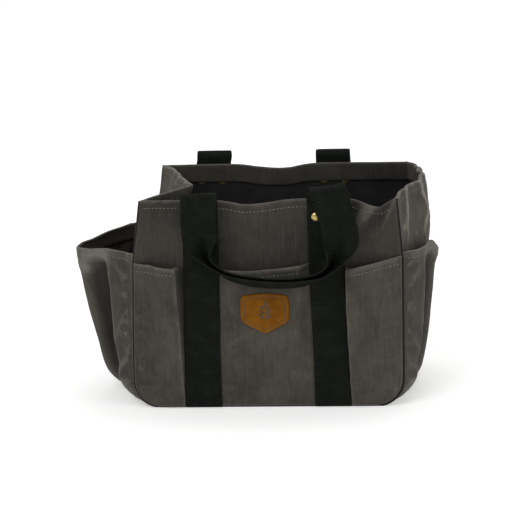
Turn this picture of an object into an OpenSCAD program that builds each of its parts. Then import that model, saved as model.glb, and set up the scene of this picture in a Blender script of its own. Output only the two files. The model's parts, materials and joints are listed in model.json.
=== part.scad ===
// Garden tool bag: a waxed canvas tote with pockets all round, webbing straps sewn up
// the front and the back, and two webbing handles with folded grips that hang outside
// the rim. The front and back panels have rounded lower corners and are joined by one
// strip that makes both ends and the base.
//
// Frame: millimetres, +Z up, origin on the floor at the centre of the base.
// The front, with the leather label, faces -Y. The longest side runs along X.

/* [Body] */
// Width between the two corner seams, at pocket height
body_w = 290; // [250:5:340]
// Depth from the front panel to the back panel
body_d = 165; // [140:5:200]
// Height of the rim above the floor
body_h = 228; // [210:2:260]
// Radius of the rounded lower corners
corner_r = 30; // [24:2:36]
// How much the rim is narrower than the body, on each side
rim_taper = 6; // [0:1:8]

/* [Cloth] */
// Thickness of the waxed canvas
canvas_t = 1.2; // [1:0.1:1.4]
// Thickness of the lining
lining_t = 0.6; // [0.4:0.1:0.8]
// Diameter of the piping cord in the corner seams
piping_d = 1.6; // [1.2:0.1:1.8]
// Thickness of the base board
board_t = 3; // [2:0.5:4]

/* [Pockets] */
// Height of the front and back pocket mouths above the floor
front_pocket_h = 163; // [150:1:175]
// How far a front pocket's mouth stands off its panel
front_pocket_gap = 9; // [6:1:10]
// Height of the side pocket mouths above the floor
side_pocket_h = 174; // [160:1:185]
// How far a side pocket's mouth stands off the gusset
side_pocket_flare = 52; // [30:2:56]

/* [Webbing] */
// Width of the webbing
webbing_w = 38; // [30:1:40]
// Thickness of the webbing
webbing_t = 2; // [1.6:0.1:2.2]
// Distance between the centre lines of the two straps
strap_spacing = 135; // [120:1:150]

/* [Handles] */
// Height of the top of the folded handle above the rim
handle_rise = 13; // [12:1:18]
// Radius of the fold where the handle turns over the rim
fold_r = 7; // [7:0.5:8]
// Drop of the grip's centre below the rim
grip_drop = 88; // [80:1:100]

/* [Hardware] */
// Diameter of a rivet's cap
rivet_cap_d = 9; // [8:0.5:10]
// Diameter of a rivet's post
rivet_post_d = 3; // [2.5:0.5:3.5]
// Distance between the two rivets of a strap end
rivet_pitch = 23; // [16:1:24]

/* [Label] */
// Width of the leather label
label_w = 52; // [36:1:60]
// Height of the leather label
label_h = 44; // [34:1:50]

/* [Hidden] */

CANVAS = [0.27, 0.25, 0.24];
BLACK = [0.09, 0.1, 0.1];
BRASS = [0.72, 0.58, 0.25];
LEATHER = [0.62, 0.38, 0.12];
FIBRE = [0.35, 0.27, 0.19];

gap = 0.2;              // clearance between two layers that are sewn together
fit = 0.05;             // radial clearance of a rivet post in its hole
rim_z = body_h;
panel_y = body_d / 2;   // outer face of the front and back panels
strap_y = panel_y + 2 * gap + canvas_t;          // inner face of a strap
seam_w = piping_d + gap;                         // margin that the piping takes on a panel
taper_z = front_pocket_h;                        // the body narrows above this height
hem_h = 9;              // depth of the turned hem along the rim
strap_x = strap_spacing / 2;
fold_z = rim_z + handle_rise - fold_r - webbing_t / 2;   // centre of the handle's fold
fold_y = strap_y + webbing_t / 2 + fold_r;
fold_sweep = fold_r + webbing_t / 2 + gap;       // radius that the turning fold needs clear
strap_top = fold_z - sqrt(pow(fold_sweep, 2) - pow(fold_r - webbing_t / 2, 2));
rivet_z = rim_z - 18;
rivet_x = [for (side = [-1, 1], k = [-0.5, 0.5]) side * strap_x + k * rivet_pitch];
lining_y = panel_y - canvas_t - gap;
cap_h = 2.2;            // height of a rivet's domed cap
back_cap_h = 1.6;       // thickness of the cap on the inside
side_rows = 14;         // rows of a side pocket's sheet, from its bottom to its mouth
side_columns = 19;      // columns of a side pocket's sheet, from front to back

// ---------------------------------------------------------------- helpers

function unit(v) = v / norm(v);
function mix(a, b, k) = a + (b - a) * k;
function ramp(k) = let (c = min(max(k, 0), 1)) c * c * (3 - 2 * c);

// Half width of the body at a height, shrunk by inset: a rounded corner, a straight
// side, a tapering top
function half_width(z, inset) =
    z < corner_r
        ? body_w / 2 - corner_r + sqrt(max(0, pow(corner_r - inset, 2) - pow(corner_r - z, 2)))
        : body_w / 2 - inset - rim_taper * max(0, (z - taper_z) / (rim_z - taper_z));

function cell(grid, i, j) =
    grid[min(max(i, 0), len(grid) - 1)][min(max(j, 0), len(grid[0]) - 1)];

function sheet_normal(grid, i, j) =
    unit(cross(cell(grid, i + 1, j) - cell(grid, i - 1, j),
               cell(grid, i, j + 1) - cell(grid, i, j - 1)));

// A sheet of cloth of thickness t whose middle surface runs through a grid of points
module sheet(grid, t) {
    columns = len(grid);
    rows = len(grid[0]);
    count = columns * rows;
    points = [
        for (side = [1, -1], i = [0 : columns - 1], j = [0 : rows - 1])
            grid[i][j] + side * sheet_normal(grid, i, j) * t / 2
    ];
    faces = concat(
        [for (i = [0 : columns - 2], j = [0 : rows - 2])
            let (a = i * rows + j, b = a + rows, c = b + 1, d = a + 1)
            each [[a, c, b], [a, d, c],
                  [a + count, b + count, c + count], [a + count, c + count, d + count]]],
        [for (i = [0 : columns - 2])
            let (a = i * rows, b = a + rows, e = a + rows - 1, f = b + rows - 1)
            each [[a + count, a, b], [a + count, b, b + count],
                  [e + count, f, e], [e + count, f + count, f]]],
        [for (j = [0 : rows - 2])
            let (a = j, d = j + 1, e = (columns - 1) * rows + j, f = e + 1)
            each [[d + count, d, a], [d + count, a, a + count],
                  [f + count, e, f], [f + count, e + count, e]]]
    );
    polyhedron(points, faces);
}

// A ribbon through stations of [centre, normal, width, thickness]
module ribbon(stations) {
    last = len(stations) - 1;
    corners = [
        for (i = [0 : last])
            let (s = stations[i],
                 along = unit(stations[min(i + 1, last)][0] - stations[max(i - 1, 0)][0]),
                 across = unit(cross(along, s[1])),
                 out = unit(cross(across, along)))
            each [for (k = [[-1, -1], [1, -1], [1, 1], [-1, 1]])
                s[0] + across * k[0] * s[2] / 2 + out * k[1] * s[3] / 2]
    ];
    faces = concat(
        [[0, 1, 2], [0, 2, 3]],
        [for (i = [0 : last - 1], k = [0 : 3])
            let (a = 4 * i + k, b = 4 * i + (k + 1) % 4)
            each [[a, a + 4, b + 4], [a, b + 4, b]]],
        [[4 * last, 4 * last + 2, 4 * last + 1], [4 * last, 4 * last + 3, 4 * last + 2]]
    );
    polyhedron(corners, faces);
}

// Outline of the body seen from the front, drawn in X and Z, shrunk by inset,
// with its lowest edge at floor_z and its top at top_z
module outline(inset, floor_z, top_z) {
    w = body_w / 2 - inset;
    r = corner_r - inset;
    taper_end = rim_taper * (top_z - taper_z) / (rim_z - taper_z);
    polygon([
        [-w, floor_z + r], [w, floor_z + r], [w, taper_z],
        [w - taper_end, top_z], [taper_end - w, top_z], [-w, taper_z]
    ]);
    translate([r - w, floor_z])
        square([2 * (w - r), r + 1]);
    for (side = [-1, 1])
        translate([side * (w - r), floor_z + r])
            circle(r, $fn = 96);
}

// Extrudes an outline along Y, from y0 to y1
module along_y(y0, y1)
    translate([0, y1, 0])
        rotate([90, 0, 0])
            linear_extrude(y1 - y0)
                children();

// The holes that the rivet posts of the front pass through
module post_holes()
    for (x = rivet_x)
        translate([x, -panel_y - 10, rivet_z])
            rotate([-90, 0, 0])
                cylinder(h = 20, d = rivet_post_d + 2 * fit, $fn = 48);

module at_back() mirror([0, 1, 0]) children();

// ---------------------------------------------------------------- body

module front_panel()
    color(CANVAS)
        difference() {
            along_y(-panel_y, canvas_t - panel_y) outline(0, 0, rim_z);
            post_holes();
        }

// One strip of canvas: left end, base and right end
module gusset()
    color(CANVAS)
        along_y(-panel_y + canvas_t + gap, panel_y - canvas_t - gap)
            difference() {
                outline(0, 0, rim_z);
                outline(canvas_t, canvas_t, rim_z + 1);
            }

module lining() {
    inset = canvas_t + gap;
    floor_z = canvas_t + board_t + 2 * gap;
    top_z = rim_z - hem_h;
    color(BLACK)
        difference() {
            along_y(-lining_y, lining_y)
                outline(inset, floor_z, top_z);
            along_y(-lining_y + lining_t, lining_y - lining_t)
                outline(inset + lining_t, floor_z + lining_t, top_z + 1);
            post_holes();
            at_back() post_holes();
        }
}

module base_board() {
    inner_r = corner_r - canvas_t;
    reach = sqrt(pow(inner_r, 2) - pow(inner_r - gap, 2));
    w = 2 * (body_w / 2 - corner_r + reach - 1);
    d = 2 * (lining_y - 2);
    r = 8;
    color(FIBRE)
        translate([0, 0, canvas_t + gap])
            linear_extrude(board_t)
                union() {
                    square([w - 2 * r, d], center = true);
                    square([w, d - 2 * r], center = true);
                    for (sx = [-1, 1], sy = [-1, 1])
                        translate([sx * (w / 2 - r), sy * (d / 2 - r)])
                            circle(r, $fn = 48);
                }
}

// Piping cord in the seam between the front panel and the gusset
module front_piping() {
    r = piping_d / 2;
    w = body_w / 2 - r;
    bend = corner_r - r;
    lean = atan2(rim_taper, rim_z - taper_z);
    knee_r = r + gap / 4;
    color(BLACK)
        translate([0, -panel_y - gap - r, 0]) {
            translate([0, 0, r])
                rotate([0, 90, 0])
                    cylinder(h = 2 * (w - bend), r = r, center = true, $fn = 32);
            for (side = [-1, 1]) {
                translate([side * (w - bend), 0, corner_r])
                    rotate([90, 0, 0])
                        rotate([0, 0, side > 0 ? -90 : 180])
                            rotate_extrude(angle = 90, $fn = 96)
                                translate([bend, 0])
                                    circle(r, $fn = 32);
                translate([side * w, 0, corner_r])
                    cylinder(h = taper_z - corner_r, r = r, $fn = 32);
                translate([side * w, 0, taper_z])
                    rotate([0, -side * lean, 0])
                        cylinder(h = (rim_z - taper_z) / cos(lean), r = r, $fn = 32);
                translate([side * w, 0, taper_z])
                    sphere(knee_r, $fn = 32);
            }
        }
}

// ---------------------------------------------------------------- pockets

// Rows of a front pocket, closer together where the body's corner is rounded
function pocket_rows() = concat(
    [for (k = [0.01, 0.08, 0.2, 0.4, 0.65, 1]) mix(seam_w, corner_r, k)],
    [for (k = [1 : 4]) mix(corner_r, front_pocket_h, k / 4)]
);

function pocket_standoff(z) = front_pocket_gap * (z - seam_w) / (front_pocket_h - seam_w);

function pocket_point(x, share, z) =
    [x, -(panel_y + gap + canvas_t / 2 + share * pocket_standoff(z)), z];

// The pocket between the two straps: a flange under each strap, a short bellows, a flat front
module front_pocket_centre() {
    edge = strap_x - webbing_w / 2;
    columns = [[edge + 9, 0], [edge - 0.5, 0], [edge - 2, 0.5], [edge - 3, 1], [edge / 2, 1], [0, 1]];
    left = [for (c = columns) [-c[0], c[1]]];
    right = [for (k = [len(columns) - 2 : -1 : 0]) columns[k]];
    color(CANVAS)
        sheet([for (c = concat(left, right)) [for (z = pocket_rows()) pocket_point(c[0], c[1], z)]],
              canvas_t);
}

// The pocket between a strap and the corner seam on its right
module front_pocket_right() {
    edge = strap_x + webbing_w / 2;
    bellows = [[edge - 9, 0], [edge + 0.5, 0], [edge + 2, 0.5], [edge + 3, 1]];
    near = edge + 3;
    color(CANVAS)
        sheet(
            concat(
                [for (c = bellows) [for (z = pocket_rows()) pocket_point(c[0], c[1], z)]],
                [for (k = [0.3, 0.55, 0.75, 0.9, 1])
                    [for (z = pocket_rows())
                        pocket_point(mix(near, half_width(z, seam_w), k), 1 - ramp((k - 0.3) / 0.7), z)]]
            ),
            canvas_t
        );
}

// How far a side pocket bulges at a share u of the depth and a share v of the height
function side_bulge(u, v) = side_pocket_flare * pow(v, 1.15) * pow(sin(180 * u), 0.8);

module side_pocket_right() {
    edge_y = panel_y - 2;
    columns = [for (i = [0 : side_columns - 1]) i / (side_columns - 1)];
    rows = [for (j = [0 : side_rows - 1]) pow(j / (side_rows - 1), 1.3)];
    bottom = 2;
    color(CANVAS)
        sheet(
            [for (u = columns)
                [for (v = rows)
                    let (z = mix(bottom, side_pocket_h, v))
                    [half_width(z, -gap - canvas_t) + side_bulge(u, v), mix(-edge_y, edge_y, u), z]]],
            canvas_t
        );
}

// ---------------------------------------------------------------- webbing

// A strap, sewn up the front from the bottom seam to the rim
module front_strap_right()
    color(BLACK)
        difference() {
            translate([strap_x - webbing_w / 2, -strap_y - webbing_t, seam_w])
                cube([webbing_w, webbing_t, strap_top - seam_w]);
            post_holes();
        }

// Half of the front handle, from the fold on the left to the middle of the grip
function handle_stations() =
    let (turn_r = webbing_w / 2 + 5,
         grip_z = rim_z - grip_drop,
         turn_z = grip_z + 7 + turn_r,
         grip_w = webbing_w / 2,
         grip_t = 2 * webbing_t + 0.2,
         front = [0, -1, 0],
         grip_x = strap_x - turn_r)
    concat(
        [for (a = [0 : 20 : 180])
            [[-strap_x, -fold_y + fold_r * cos(a), fold_z + fold_r * sin(a)],
             [0, cos(a), sin(a)], webbing_w, webbing_t]],
        [for (k = [0.5, 1])
            [[-strap_x, -fold_y - fold_r, mix(fold_z, turn_z, k)], front, webbing_w, webbing_t]],
        [for (a = [15 : 15 : 90])
            [[-strap_x + turn_r * (1 - cos(a)), -fold_y - fold_r, turn_z - turn_r * sin(a)],
             front, mix(webbing_w, grip_w, ramp(a / 90)), mix(webbing_t, grip_t, ramp(a / 90))]],
        [for (k = [0.25 : 0.25 : 1])
            [[mix(-grip_x, 0, k), -fold_y - fold_r, grip_z + 7 * pow(1 - k, 2)], front, grip_w, grip_t]]
    );

module front_handle() {
    half = handle_stations();
    other = [for (k = [len(half) - 2 : -1 : 0])
        [[-half[k][0][0], half[k][0][1], half[k][0][2]], half[k][1], half[k][2], half[k][3]]];
    color(BLACK)
        ribbon(concat(half, other));
}

// ---------------------------------------------------------------- label and rivets

// A shield: a flat top, straight sides and a blunt point
module leather_label() {
    side_h = label_h * 0.68;
    point_h = label_h - side_h;
    label_z = 85;
    label_t = 1.8;
    tilt = atan2(front_pocket_gap, front_pocket_h - seam_w);
    r = 2.5;
    color(LEATHER)
        translate([0, pocket_point(0, 1, label_z)[1] - canvas_t / 2 - gap, label_z])
            rotate([90 + tilt, 0, 0])
                linear_extrude(label_t)
                    offset(r, $fn = 24)
                        polygon([
                            [0, r], [label_w / 2 - r, point_h + r / 2], [label_w / 2 - r, label_h - r],
                            [r - label_w / 2, label_h - r], [r - label_w / 2, point_h + r / 2]
                        ]);
}

// Domed cap and post, from outside a strap
module front_rivets() {
    dome = (pow(rivet_cap_d / 2, 2) + pow(cap_h - 0.6, 2)) / (2 * (cap_h - 0.6));
    post = strap_y + webbing_t - lining_y + lining_t + back_cap_h - 0.5;
    color(BRASS)
        for (x = rivet_x)
            translate([x, -strap_y - webbing_t - fit, rivet_z])
                rotate([90, 0, 0]) {
                    cylinder(h = 0.6, d = rivet_cap_d, $fn = 64);
                    intersection() {
                        translate([0, 0, cap_h - dome])
                            sphere(dome, $fn = 96);
                        translate([0, 0, 0.3])
                            cylinder(h = cap_h, d = rivet_cap_d, $fn = 64);
                    }
                    translate([0, 0, -post])
                        cylinder(h = post + 0.1, d = rivet_post_d, $fn = 48);
                }
}

// The caps on the inside, each with a socket that the post is set into
module front_rivet_backs()
    color(BRASS)
        for (x = rivet_x)
            translate([x, -lining_y + lining_t + fit, rivet_z])
                rotate([-90, 0, 0])
                    difference() {
                        cylinder(h = back_cap_h, d = rivet_cap_d, $fn = 64);
                        translate([0, 0, -1])
                            cylinder(h = back_cap_h + 0.6, d = rivet_post_d + 2 * fit, $fn = 48);
                    }

// ---------------------------------------------------------------- the nodes

front_panel();
at_back() front_panel();  // back_panel
gusset();
lining();
base_board();
mirror([1, 0, 0]) front_pocket_right();  // front_pocket_left
front_pocket_centre();
front_pocket_right();
at_back() mirror([1, 0, 0]) front_pocket_right();  // back_pocket_left
at_back() front_pocket_centre();  // back_pocket_centre
at_back() front_pocket_right();  // back_pocket_right
mirror([1, 0, 0]) side_pocket_right();  // side_pocket_left
side_pocket_right();
front_piping();
at_back() front_piping();  // back_piping
mirror([1, 0, 0]) front_strap_right();  // front_strap_left
front_strap_right();
at_back() mirror([1, 0, 0]) front_strap_right();  // back_strap_left
at_back() front_strap_right();  // back_strap_right
front_handle();
at_back() front_handle();  // back_handle
leather_label();
front_rivets();
front_rivet_backs();
at_back() front_rivets();  // back_rivets
at_back() front_rivet_backs();  // back_rivet_backs
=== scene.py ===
"""A waxed canvas garden tool bag: cloth, webbing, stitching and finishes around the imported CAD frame."""

import json
import math

import bpy
import numpy as np
from mathutils import Matrix, Vector


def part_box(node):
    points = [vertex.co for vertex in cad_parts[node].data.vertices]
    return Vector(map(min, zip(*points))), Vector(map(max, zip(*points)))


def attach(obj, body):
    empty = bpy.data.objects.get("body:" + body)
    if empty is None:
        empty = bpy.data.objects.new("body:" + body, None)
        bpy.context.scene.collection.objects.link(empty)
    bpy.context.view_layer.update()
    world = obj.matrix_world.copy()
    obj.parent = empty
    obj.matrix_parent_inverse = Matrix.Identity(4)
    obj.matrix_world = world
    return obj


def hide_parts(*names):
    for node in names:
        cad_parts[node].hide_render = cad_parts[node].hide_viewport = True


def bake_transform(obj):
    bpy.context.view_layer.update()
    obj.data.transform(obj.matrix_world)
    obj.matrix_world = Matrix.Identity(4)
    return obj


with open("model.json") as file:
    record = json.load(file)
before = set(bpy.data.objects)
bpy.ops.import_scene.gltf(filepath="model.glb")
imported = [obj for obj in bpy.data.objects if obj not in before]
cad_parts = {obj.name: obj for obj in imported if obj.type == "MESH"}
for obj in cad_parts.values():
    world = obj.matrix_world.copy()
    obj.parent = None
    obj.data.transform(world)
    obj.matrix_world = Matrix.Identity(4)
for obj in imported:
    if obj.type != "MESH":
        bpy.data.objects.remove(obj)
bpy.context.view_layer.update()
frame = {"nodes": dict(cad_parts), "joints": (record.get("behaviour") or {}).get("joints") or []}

MM = 0.001


def mm_box(node):
    low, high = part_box(node)
    return np.array(low) / MM, np.array(high) / MM


# ---------- sizes, in mm, from the CAD

PANEL_LOW, PANEL_HIGH = mm_box("front_panel")
HALF_W = PANEL_HIGH[0]
RIM_Z = PANEL_HIGH[2]
PANEL_Y = -PANEL_LOW[1]
STRAP_LOW, STRAP_HIGH = mm_box("front_strap_right")
STRAP_X = (STRAP_LOW[0] + STRAP_HIGH[0]) / 2
WEB_W = STRAP_HIGH[0] - STRAP_LOW[0]
WEB_T = STRAP_HIGH[1] - STRAP_LOW[1]
STRAP_Y = -(STRAP_LOW[1] + STRAP_HIGH[1]) / 2
STRAP_TOP = STRAP_HIGH[2]
STRAP_EDGE_IN = STRAP_X - WEB_W / 2
STRAP_EDGE_OUT = STRAP_X + WEB_W / 2
LABEL_LOW, LABEL_HIGH = mm_box("leather_label")
HINGE = np.array(frame["joints"][0]["pos_m"]) / MM
FOLD_Y, FOLD_Z = abs(HINGE[1]), HINGE[2]
FOLD_R = FOLD_Y - STRAP_Y

# ---------- sizes, in mm, of the cloth

CANVAS_T = 1.2
CORNER_R = 30.0
TAPER = 6.0
TAPER_Z = 163.0
SEAM_Y = PANEL_Y - 1.6
STITCH_DROP = 8.5

# A hem turns over and runs down inside, in HEM_ROWS rows of a sheet, HEM_TURN of them after its top.
HEM = 18.0
TURN_R = 1.5
HEM_ROWS = 12
HEM_TURN = 9


# ---------- numbers


def ramp(k):
    """0 below 0, 1 above 1 and smooth between."""
    k = np.clip(k, 0.0, 1.0)
    return k * k * (3 - 2 * k)


def bump(x, centre, width):
    """1 at centre, 0 beyond width on each side."""
    return ramp(1 - np.abs((x - centre) / width))


LATTICE = 256
_lattices = {}


def noise(x, y, seed):
    """Smooth noise between -1 and 1 on a lattice of unit cells."""
    if seed not in _lattices:
        _lattices[seed] = np.random.RandomState(seed).rand(LATTICE, LATTICE) * 2 - 1
    lattice = _lattices[seed]
    x, y = np.broadcast_arrays(np.asarray(x, float), np.asarray(y, float))
    ix, iy = np.floor(x).astype(int), np.floor(y).astype(int)
    fx, fy = x - ix, y - iy
    fx, fy = fx * fx * fx * (fx * (fx * 6 - 15) + 10), fy * fy * fy * (fy * (fy * 6 - 15) + 10)
    ix, iy, next_x, next_y = ix % LATTICE, iy % LATTICE, (ix + 1) % LATTICE, (iy + 1) % LATTICE
    low = lattice[ix, iy] * (1 - fx) + lattice[next_x, iy] * fx
    high = lattice[ix, next_y] * (1 - fx) + lattice[next_x, next_y] * fx
    return low * (1 - fy) + high * fy


def fractal(x, y, seed, octaves=3):
    """Noise with finer noise laid over it."""
    return sum(noise(x * 2**k, y * 2**k, seed + k) / 2**k for k in range(octaves))


def half_width(z, inset=0.0):
    """Half width of the body at a height, as the CAD draws it."""
    z = np.asarray(z, float)
    rise = np.sqrt(np.maximum(0, (CORNER_R - inset) ** 2 - np.maximum(0, CORNER_R - z) ** 2))
    straight = HALF_W - inset - TAPER * np.maximum(0, (z - TAPER_Z) / (RIM_Z - TAPER_Z))
    return np.where(z < CORNER_R, HALF_W - CORNER_R + rise, straight)


def lengths(line):
    """Distance along a line at each of its points."""
    return np.concatenate([[0], np.cumsum(np.linalg.norm(np.diff(line, axis=0), axis=1))])


def resample(line, count):
    """count points evenly spaced along a line. Its columns past x, y and z follow."""
    along = lengths(line[:, :3])
    keep = np.concatenate([[True], np.diff(along) > 1e-9])
    where = np.linspace(0, along[-1], count)
    return np.stack([np.interp(where, along[keep], line[keep, k]) for k in range(line.shape[1])], 1)


def spline(points, count):
    """A smooth curve through points, as count samples evenly spaced along it."""
    p = np.asarray(points, float)
    p = np.vstack([2 * p[0] - p[1], p, 2 * p[-1] - p[-2]])
    t = np.linspace(0, 1, 24, endpoint=False)[:, None]
    fine = []
    for a, b, c, d in zip(p, p[1:], p[2:], p[3:]):
        square = (2 * a - 5 * b + 4 * c - d) * t**2
        cube = (3 * b - a - 3 * c + d) * t**3
        fine.append(0.5 * (2 * b + (c - a) * t + square + cube))
    return resample(np.vstack(fine + [p[-2][None]]), count)


# ---------- how the whole bag sags

# How far the cloth moves, in mm
FRONT_BELLY = 2.2
BACK_BELLY = 3.0
RIM_SAG = 5.0
RIM_DIP = 11.0
DIP_CREASE = 5.0
CORNER_LEAN = 8.0
RIGHT_LEAN = 2.5
STRAP_CLOSING = 2.0
LEFT_TUCK = 46.0
LEFT_LIFT = 5.0
RIGHT_SWELL = 22.0
RIGHT_DRAPE = 2.2
# The corners are past CORNER_FROM from the middle, and fully so CORNER_OVER further on
CORNER_FROM = 92.0
CORNER_OVER = 44.0
# The creases of the right end: (depth, lean, height)
END_CREASES = ((-46, 0.34, 4.2), (-20, -0.1, 3.6), (8, 0.2, 3.4), (40, -0.25, 3.0))
END_CREASE_WIDTH = 4.2


def strap_hold(x, z):
    """1 where a strap's riveted end holds the rim still, 0 away from it."""
    return bump(np.abs(x), STRAP_X, 46) ** 0.5 * ramp((z - 120) / 70)


def soften(p, tuck=False):
    """Moves points of the straight bag to where the soft bag's are. tuck shapes the two ends too."""
    p = np.array(p, float)
    x, y, z = p[..., 0].copy(), p[..., 1].copy(), p[..., 2].copy()
    front = ramp((-y - 20) / 55)
    back = ramp((y - 20) / 55)
    left = ramp((-x - CORNER_FROM) / CORNER_OVER)
    right = ramp((x - CORNER_FROM) / CORNER_OVER)
    free = 1 - strap_hold(x, z)
    top = ramp((z - 150) / 75)

    # The front and back faces belly out and ripple between the straps
    belly = np.cos(np.clip(x / 150, -1, 1) * math.pi / 2) * np.sin(np.clip(z / 235, 0, 1) * math.pi)
    lift = ramp((z - 4) / 60)
    ripple = 1.5 * fractal(x / 46 + 3.1, z / 70 + 1.7, 11) + 0.5 * fractal(x / 15, z / 22, 17, 2)
    ripple_back = 1.8 * fractal(x / 50 + 9.1, z / 64 + 4.2, 23) + 0.5 * fractal(x / 15, z / 22, 29, 2)
    p[..., 1] -= front * free * lift * (FRONT_BELLY * belly + ripple)
    p[..., 1] += back * free * lift * (BACK_BELLY * belly + ripple_back)

    # The rims sag between the straps
    p[..., 2] -= front * top * free * RIM_SAG * bump(x, -20, 64)
    p[..., 2] -= back * top * free * RIM_SAG * bump(x, 6, 62)

    # The right end of the front rim dips in a sharp crease
    dip = np.minimum(np.clip((x - 90) / 32, 0, 1) ** 1.6, np.clip((138 - x) / 15, 0, 1))
    p[..., 2] -= RIM_DIP * dip * ramp((z - 165) / 62) * ramp((-y - 50) / 25)
    leaning = x - (z - RIM_Z) * 0.5
    near_front = ramp((-y - 60) / 20)
    p[..., 1] -= DIP_CREASE * bump(leaning, 112, 13) * ramp((z - 175) / 45) * near_front
    p[..., 1] += DIP_CREASE * bump(leaning, 127, 11) * ramp((z - 180) / 40) * near_front

    # The front corners lean to the right, with the rim
    p[..., 0] += CORNER_LEAN * left * (z / RIM_Z) ** 1.3
    p[..., 0] += RIGHT_LEAN * right * (z / RIM_Z)

    # The straps stand closer together at the rim than at the base
    fade = ramp((142 - np.abs(x)) / 55)
    p[..., 0] -= STRAP_CLOSING * (2 * z / RIM_Z - 1) * np.clip(x / STRAP_X, -1, 1) * fade

    # The back corners lean to the right too
    p[..., 0] += CORNER_LEAN * ramp((y - 15) / 60) * ramp((z - 110) / 100) * (left + right)

    if tuck:
        # Both are nought at the corner seams, so that the cloth still meets there
        t = np.clip((y + SEAM_Y) / (2 * SEAM_Y), 0, 1)

        # The left end folds inwards
        tent = np.minimum(np.clip(t / 0.3, 0, 1), np.clip((1 - t) / 0.7, 0, 1) ** 0.85)
        depth = LEFT_TUCK * ramp((z - 105) / 130) + 4.0 * ramp(z / 60)
        sway = 1 + 0.06 * noise(y / 30 + 4, z / 40, 41)
        p[..., 0] += left * depth * tent * sway
        p[..., 2] += left * LEFT_LIFT * tent * ramp((z - 150) / 80)

        # The right end swells outwards and drapes
        swell = np.sin(t**1.25 * math.pi)
        loose = np.sqrt(np.maximum(swell, 0))
        p[..., 0] += right * swell * (RIGHT_SWELL * ramp((z - 10) / 150) + 4.0 * bump(z, 182, 55))
        p[..., 2] += right * swell * top * 3.0
        drape = np.cos((y - 0.22 * (z - RIM_Z)) / 13.5 + 0.9 * noise(z / 70, y / 60, 43))
        p[..., 0] += right * loose * ramp((z - 120) / 70) * RIGHT_DRAPE * drape
        for at, lean, height in END_CREASES:
            away = (y - at - lean * (z - RIM_Z) + 5 * noise(z / 22, at, 53)) / END_CREASE_WIDTH
            p[..., 0] += right * height * np.exp(-np.abs(away) ** 1.3) * ramp((z - 140) / 70) * loose
        p[..., 0] += (right - left) * swell * 1.6 * fractal(y / 26, z / 34, 47)
    return p


# ---------- meshes


def add_object(name, data):
    obj = bpy.data.objects.new(name, data)
    bpy.context.scene.collection.objects.link(obj)
    return obj


def new_object(name, vertices, faces, material, uv=None):
    """vertices in mm; uv is one pair of mm per vertex."""
    mesh = bpy.data.meshes.new(name)
    mesh.from_pydata([tuple(v) for v in np.asarray(vertices) * MM], [], [tuple(f) for f in faces])
    mesh.validate()
    if uv is not None:
        layer = mesh.uv_layers.new(name="cloth_mm")
        flat = np.asarray(uv, float).reshape(-1, 2)
        index = np.zeros(len(mesh.loops), int)
        mesh.loops.foreach_get("vertex_index", index)
        layer.data.foreach_set("uv", flat[index].astype(np.float32).ravel())
    mesh.polygons.foreach_set("use_smooth", [True] * len(mesh.polygons))
    mesh.materials.append(material)
    return add_object(name, mesh)


def place(obj, slot, *nodes):
    """Puts a piece on the bag's body, in place of CAD nodes. slot is not used."""
    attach(obj, "bag")
    if nodes:
        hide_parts(*nodes)


def thicken(obj, thickness):
    skin = obj.modifiers.new("thickness", "SOLIDIFY")
    skin.thickness = thickness * MM
    return skin


def grid_faces(columns, rows, offset=0, flip=False):
    faces = []
    for i in range(columns - 1):
        for j in range(rows - 1):
            a = offset + i * rows + j
            quad = (a, a + rows, a + rows + 1, a + 1)
            faces.append(quad[::-1] if flip else quad)
    return faces


def ring_faces(stations, corners, offset=0):
    """The sides of a tube through rings of corners points each."""
    faces = []
    for i in range(stations - 1):
        start = offset + i * corners
        for k in range(corners):
            a, b = start + k, start + (k + 1) % corners
            faces.append((a, b, b + corners, a + corners))
    return faces


def unit(v):
    return v / np.maximum(np.linalg.norm(v, axis=-1, keepdims=True), 1e-9)


def normals_of(p):
    return unit(np.cross(np.gradient(p, axis=0), np.gradient(p, axis=1)))


def turned(normals, away):
    """Normals turned over where they point against away."""
    return normals * np.sign((normals * away).sum(-1, keepdims=True))


def travelled(p, axis):
    """Distance along one axis of a grid of points, as the mean over the other."""
    steps = np.linalg.norm(np.diff(p, axis=axis), axis=2)
    return np.concatenate([[0], np.cumsum(steps.mean(1 - axis))])


def grid_of(*parts):
    """Stacks parts that may each be constant along the columns or the rows."""
    return np.stack(np.broadcast_arrays(*parts), -1)


class Sheet:
    """A cloth surface: points p[column, row] in mm, their places uv in the flat cloth, the normals n, and
    how much painted shade each point gets in a pleat or gap, 0 to 1."""

    def __init__(self, p, uv=None):
        self.p = np.asarray(p, float)
        self.painted_pleat_shade = np.zeros(self.p.shape[:2])
        if uv is None:
            uv = grid_of(travelled(self.p, 0)[:, None], travelled(self.p, 1)[None, :])
        self.uv = uv
        self.n = normals_of(self.p)

    def ridges(self, towards):
        """How far each point stands out, in mm: above 0 on creases, below 0 in hollows."""
        total = 0
        for axis in (0, 1):
            count = self.p.shape[axis]
            before = np.take(self.p, np.maximum(np.arange(count) - 2, 0), axis)
            after = np.take(self.p, np.minimum(np.arange(count) + 2, count - 1), axis)
            total = total + self.p - (before + after) / 2
        return (total * turned(self.n, towards(self.p))).sum(-1)

    def wear(self, hems):
        """1 along the turn of its last rows' hem, and of its first rows' too if hems is 2."""
        columns, rows = self.p.shape[:2]
        line = np.exp(-(((rows - 1 - HEM_TURN - np.arange(rows)) / 1.7) ** 2))
        if hems == 2:
            line = line + line[::-1]
        return np.broadcast_to(line[None, :], (columns, rows))

    def row_at(self, v):
        """The line across the sheet at cloth height v, and its normals."""
        rows = self.uv[0, :, 1]
        j = np.interp(v, rows, np.arange(len(rows)))
        k = min(int(j), len(rows) - 2)
        f = j - k
        return self.p[:, k] * (1 - f) + self.p[:, k + 1] * f, self.n[:, k] * (1 - f) + self.n[:, k + 1] * f


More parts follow.
